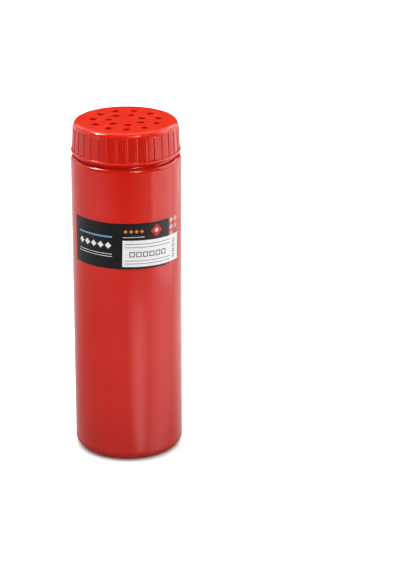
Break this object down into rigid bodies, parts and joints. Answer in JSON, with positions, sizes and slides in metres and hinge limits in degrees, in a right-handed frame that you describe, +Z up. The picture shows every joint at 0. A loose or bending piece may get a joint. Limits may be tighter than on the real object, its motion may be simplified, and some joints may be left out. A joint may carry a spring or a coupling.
{
  "type": "spice shaker",
  "caption": "Tall round plastic shaker bottle with a ribbed screw-off cap perforated with pouring holes, a black wrap label and a white write-on sticker.",
  "frame": {"origin": "centre of the standing ring, on the table's plane, on the bottle's axis", "axes": "+Z up along the bottle's axis, the labelled front faces -Y and +X is to the right as seen from the front"},
  "size_m": [0.071, 0.0712, 0.2233],
  "materials": {
    "bottle_plastic": "satin moulded polyethylene",
    "cap_plastic": "satin moulded polypropylene",
    "seal_foam": "soft foamed polyethylene",
    "label_film": "printed film, satin",
    "sticker_film": "coated write-on film"
  },
  "bodies": {
    "bottle": {"bottle": "bottle_plastic", "front_label": "label_film", "product_sticker": "sticker_film"},
    "seal_ring": {"seal_ring": "seal_foam"},
    "screw_cap": {"screw_cap": "cap_plastic"}
  },
  "joints": [
    {"name": "cap_rise", "type": "slide", "parent": "bottle", "child": "seal_ring", "axis": [0, 0, 1], "range_m": [0, 0.018]},
    {"name": "cap_turn", "type": "hinge", "parent": "seal_ring", "child": "screw_cap", "pos_m": [0, 0, 0.2215], "axis": [0, 0, 1], "range_deg": [0, 810]}
  ],
  "couplings": [
    {"joint": "cap_rise", "follows": "cap_turn", "m_per_rad": 0.0012732}
  ]
}
